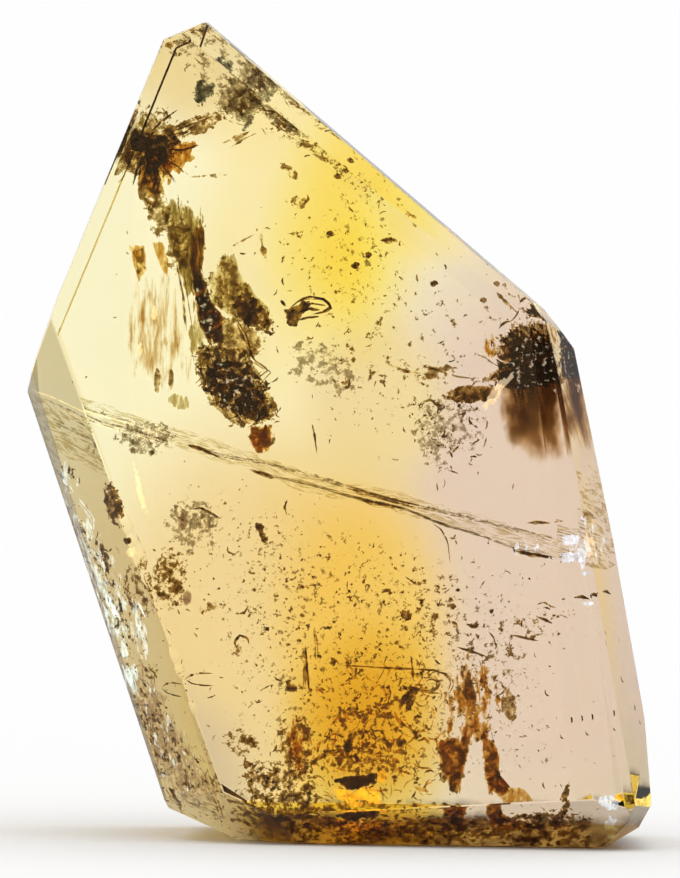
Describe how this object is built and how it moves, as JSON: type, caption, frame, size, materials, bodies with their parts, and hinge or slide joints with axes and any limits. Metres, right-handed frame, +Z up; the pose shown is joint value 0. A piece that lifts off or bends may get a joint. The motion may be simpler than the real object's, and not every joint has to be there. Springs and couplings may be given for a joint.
{
  "type": "citrine crystal point",
  "caption": "Polished clear yellow citrine point, a bevelled slab with an off-centre tip that stands on its flat base",
  "frame": {"origin": "centre of the flat base's level, under the middle of the bounding box", "axes": "+Z up from the base to the tip, +Y from the broad front face to the back face, +X to the right seen from the front"},
  "size_m": [0.0463, 0.025, 0.0599],
  "materials": {
    "citrine": "polished"
  },
  "bodies": {
    "root": {"crystal_point": "citrine"}
  },
  "joints": []
}
